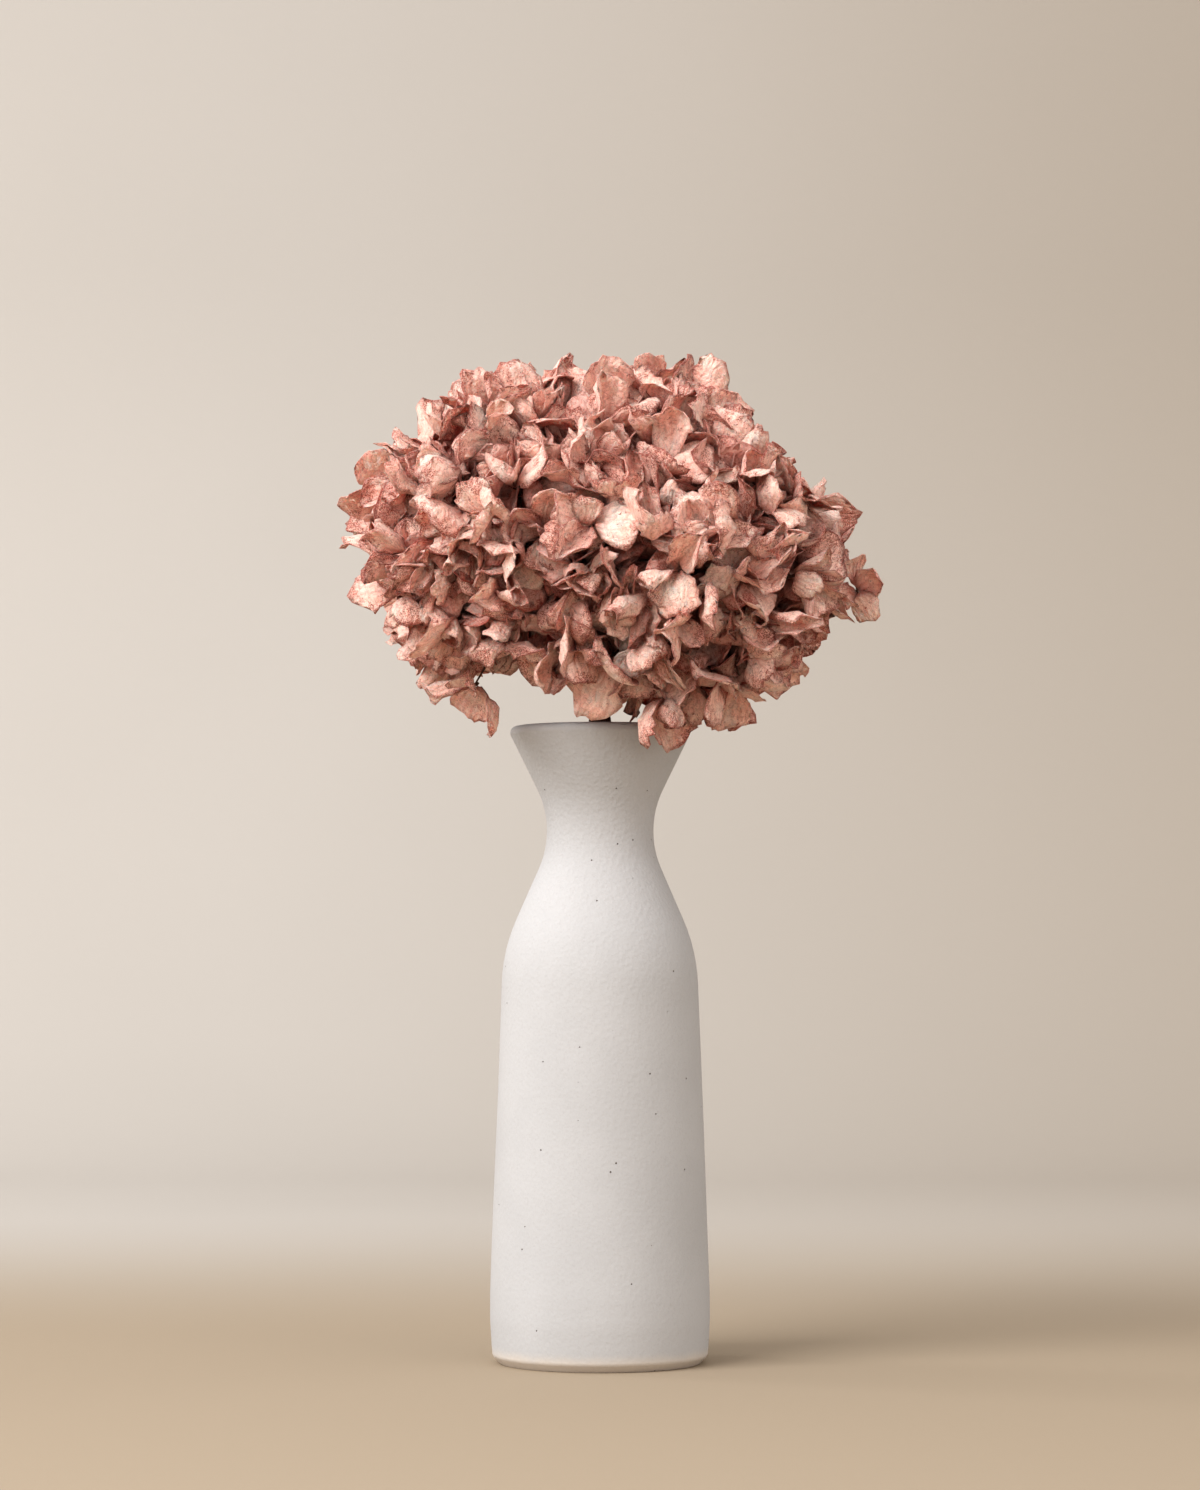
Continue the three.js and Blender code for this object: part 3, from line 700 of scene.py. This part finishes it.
# A head: a floret on each point of the start, turned and drawn anew, with its bud and its stalk.
tree, given = growth("florets over a head", {
    "Sepals": "Collection", "Bud": "Object", "Stalk": "Object", "Seat": "Vector", "Lean": "Float",
    "Seed": "Int", "Crease": "Float", "Crumple": "Float", "Papery": "Material", "Bark": "Material",
})


def draw(low, high, seed):
    """A number drawn anew for each point."""
    limits = {"Min": low, "Max": high, "Seed": given["Seed"] + seed}
    return tree.add("FunctionNodeRandomValue", None, limits)


def carried(kind, name):
    """A value that points carry under a name."""
    return tree.add("GeometryNodeInputNamedAttribute", {"data_type": kind}, {"Name": name})


def stored(geometry, domain, kind, name, value):
    """The geometry with a value added to it under a name."""
    settings = {"domain": domain, "data_type": kind}
    inputs = {"Geometry": geometry, "Name": name, "Value": value}
    return tree.add("GeometryNodeStoreNamedAttribute", settings, inputs)


def spun(rotation, axis, angle):
    """A rotation with a further turn about one of its own axes."""
    turn = tree.add("FunctionNodeAxisAngleToRotation", None, {"Axis": axis, "Angle": angle})
    inputs = {"Rotation": rotation, "Rotate By": turn}
    return tree.add("FunctionNodeRotateRotation", {"rotation_space": "LOCAL"}, inputs)


disorder = tree.add("FunctionNodeRandomValue", {"data_type": "FLOAT_VECTOR"},
                    {"Min": (-1, -1, -1), "Max": (1, 1, 1), "Seed": given["Seed"]})
facing = carried("FLOAT_VECTOR", "facing") + disorder * given["Lean"]
upright = tree.add("FunctionNodeAlignRotationToVector", {"axis": "Z"}, {"Vector": facing})
turn = spun(upright, (0, 0, 1), draw(0, 2 * math.pi, 1))
points = stored(given["Geometry"], "POINT", "QUATERNION", "turn", turn)
points = stored(points, "POINT", "FLOAT", "tone", draw(0, 1, 2))

# Four sepals to a floret, a quarter of a turn apart, each tipped up, tilted and drawn on its own.
fourfold = tree.add("GeometryNodeDuplicateElements", {"domain": "POINT"}, {"Geometry": points, "Amount": 4})
quarter = fourfold.of("Duplicate Index") * (math.pi / 2)
turn = spun(carried("QUATERNION", "turn"), (0, 0, 1), quarter + draw(-SEPAL_TURN, SEPAL_TURN, 3))
openness = carried("FLOAT", "inset").rise(0.042, 0.020) * 0.7 + 0.3  # less on the florets further in
turn = spun(turn, (0, 1, 0), draw(-SEPAL_TIP, 0.0, 4) * openness)
turn = spun(turn, (1, 0, 0), draw(-SEPAL_TILT, SEPAL_TILT, 5))
shapes = len(sepals.objects) // len(SEPAL_GRIDS)
which = tree.add("FunctionNodeRandomValue", {"data_type": "INT"},
                 {"Min": 0, "Max": shapes - 1, "Seed": given["Seed"] + 6})
which += carried("FLOAT", "inset").rise(DEPTH_OF_PLAIN, DEPTH_OF_PLAIN + 0.0001) * shapes
pool = tree.add("GeometryNodeCollectionInfo", None,
                {"Collection": given["Sepals"], "Separate Children": True, "Reset Children": True})
placing = {"Points": fourfold, "Instance": pool, "Pick Instance": True, "Instance Index": which,
           "Rotation": turn, "Scale": draw(*SEPAL_SIZES, 7) * carried("FLOAT", "size")}
flowers = tree.add("GeometryNodeInstanceOnPoints", None, placing)
flowers = stored(flowers, "INSTANCE", "FLOAT", "wear", draw(0, 1, 8))
flowers = tree.add("GeometryNodeRealizeInstances", None, {"Geometry": flowers})

# A bud and a stalk to each floret.
bud_of = tree.add("GeometryNodeObjectInfo", None, {"Object": given["Bud"]})
buds = tree.add("GeometryNodeInstanceOnPoints", None, {"Points": points, "Instance": bud_of.of("Geometry")})
place = tree.add("GeometryNodeInputPosition")
away = place - given["Seat"]
length = tree.add("ShaderNodeVectorMath", {"operation": "LENGTH"}, {0: away})
outward = tree.add("FunctionNodeAlignRotationToVector", {"axis": "Z"}, {"Vector": away})
stretch = tree.add("ShaderNodeCombineXYZ", None, {"X": 1.0, "Y": 1.0, "Z": length * STALK_SHARE})
stalk_of = tree.add("GeometryNodeObjectInfo", None, {"Object": given["Stalk"]})
placing = {"Points": points, "Instance": stalk_of.of("Geometry"), "Rotation": outward, "Scale": stretch}
stalks = tree.add("GeometryNodeInstanceOnPoints", None, placing)
woody = tree.add("GeometryNodeJoinGeometry", None, {0: [buds, stalks]})
woody = tree.add("GeometryNodeRealizeInstances", None, {"Geometry": woody})
woody = stored(woody, "POINT", "BOOLEAN", "woody", True)

# All of it bends together, so that nothing comes apart.
whole = tree.add("GeometryNodeJoinGeometry", None, {0: [flowers, woody]})
broad_noise = tree.noise(place, 95, detail=1).of("Color") - 0.5
fine_noise = tree.noise(place, 300, detail=1).of("Color") - 0.5
offset = broad_noise * given["Crease"] + fine_noise * given["Crumple"]
whole = tree.add("GeometryNodeSetPosition", None, {"Geometry": whole, "Offset": offset})
whole = tree.add("GeometryNodeRemoveAttribute", None, {"Geometry": whole, "Name": "turn"})
whole = tree.add("GeometryNodeSetShadeSmooth", None, {"Geometry": whole})
whole = tree.add("GeometryNodeRealizeInstances", None, {"Geometry": whole})
whole = tree.add("GeometryNodeSetMaterial", None, {"Geometry": whole, "Material": given["Papery"]})
barked = {"Geometry": whole, "Selection": carried("BOOLEAN", "woody"), "Material": given["Bark"]}
whole = tree.add("GeometryNodeSetMaterial", None, barked)
tree.add("NodeGroupOutput", None, {"Geometry": whole})

spots, facings = bunch_spots(BUNCH_SPOTS)
for name, head in HEADS.items():
    rows = floret_places(name, spots, facings, np.random.default_rng(head["draw"]))
    values = {"Sepals": sepals, "Bud": bud, "Stalk": stalk, "Seat": head["seat"], "Lean": FLORET_LEAN,
              "Seed": SEED_STEP * head["draw"], "Crease": CREASE, "Crumple": CRUMPLE, "Papery": dried,
              "Bark": bark}
    bloom = grown(f"{name}_bloom", floret_start(f"{name} florets", rows), tree, values)
    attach(bloom, "root")
    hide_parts(f"head_{name}")

# ---- The studio ----
# A sheet of warm pale paper that sweeps up behind the vase. A large soft light stands at the front left,
# with a weak warm one at the right, one that falls on the paper and the room's own light. The camera looks
# along +Y and a little upwards, from the height of the vase's shoulder.

SWEEP_NEAR = -2.6
SWEEP_FAR = 2.3
SWEEP_HALF_WIDTH = 4.0
SWEEP_ROUNDING = 0.9
SWEEP_TOP = 3.6
SWEEP_STEPS = 24

profile = [(SWEEP_NEAR, 0.0)]
for k in range(SWEEP_STEPS + 1):
    angle = math.pi / 2 * k / SWEEP_STEPS
    profile.append((SWEEP_FAR - SWEEP_ROUNDING + SWEEP_ROUNDING * math.sin(angle),
                    SWEEP_ROUNDING - SWEEP_ROUNDING * math.cos(angle)))
profile.append((SWEEP_FAR, SWEEP_TOP))
mesh = bpy.data.meshes.new("paper sweep")
mesh.from_pydata([(x, y, z) for y, z in profile for x in (-SWEEP_HALF_WIDTH, SWEEP_HALF_WIDTH)], [],
                 [(2 * k, 2 * k + 1, 2 * k + 3, 2 * k + 2) for k in range(len(profile) - 1)])
mesh.shade_smooth()
sweep = in_scene("paper_sweep", mesh)

paper, tree = material("warm pale paper")
place = tree.add("ShaderNodeTexCoord").of("Object")
tooth = tree.noise(place, 900, detail=2)
where = tree.add("ShaderNodeSeparateXYZ", None, {0: place})
colour = tree.mix(tree.noise(place, 2, detail=2), paint("B6B1AB"), paint("BCB7B1"))
# Painted shade: the paper is darker towards the right, away from the key light.
colour = tree.mix(where.of("X").rise(-0.4, 0.9), colour, paint("AEA59A"))
colour = tree.mix(where.of("Y").rise(1.0, 0.1), colour, paint("9F917F"))
tree.surface(colour, roughness=tooth * 0.1 + 0.85, shine=0.2, relief=tooth, strength=0.2, depth=0.0003)
sweep.data.materials.append(paper)


def soft_light(name, place, towards, size, power, tint):
    """A large square lamp that faces a point."""
    lamp = bpy.data.lights.new(name, "AREA")
    lamp.size = size
    lamp.energy = power
    lamp.color = tint
    holder = in_scene(name, lamp)
    holder.location = place
    holder.rotation_euler = (Vector(towards) - Vector(place)).to_track_quat("-Z", "Y").to_euler()


soft_light("key", place=(-1.45, -1.35, 1.75), towards=(0, 0, 0.34), size=1.6, power=61,
           tint=(1.0, 0.985, 0.975))
soft_light("fill", place=(1.6, -1.5, 0.9), towards=(0, 0, 0.25), size=1.6, power=5.0,
           tint=(1.0, 0.82, 0.66))
soft_light("glow on the paper", place=(-2.2, 1.0, 1.2), towards=(-0.6, 2.3, 0.5), size=1.0, power=16,
           tint=(1.0, 0.98, 0.96))

ROOM_TINT = (1.0, 0.97, 0.95, 1)
ROOM_STRENGTH = 0.865

world = bpy.data.worlds.new("room light")
world.use_nodes = True
room = world.node_tree.nodes["Background"]
room.inputs["Color"].default_value = ROOM_TINT
room.inputs["Strength"].default_value = ROOM_STRENGTH
bpy.context.scene.world = world
bpy.context.scene.view_settings.view_transform = "Standard"
bpy.context.scene.view_settings.look = "Medium High Contrast"

CAMERA_DISTANCE = 1.788
CAMERA_HEIGHT = 0.1875
CAMERA_TILT = math.radians(3.01)
CAMERA_LENS = 94.2  # in millimetres, like the sensor's width
CAMERA_SENSOR = 36
NEAREST_SEEN = 0.05

lens = bpy.data.cameras.new("camera")
lens.lens = CAMERA_LENS
lens.sensor_width = CAMERA_SENSOR
lens.clip_start = NEAREST_SEEN
camera = in_scene("camera", lens)
camera.location = (0, -CAMERA_DISTANCE, CAMERA_HEIGHT)
camera.rotation_euler = (math.pi / 2 + CAMERA_TILT, 0, 0)
bpy.context.scene.camera = camera
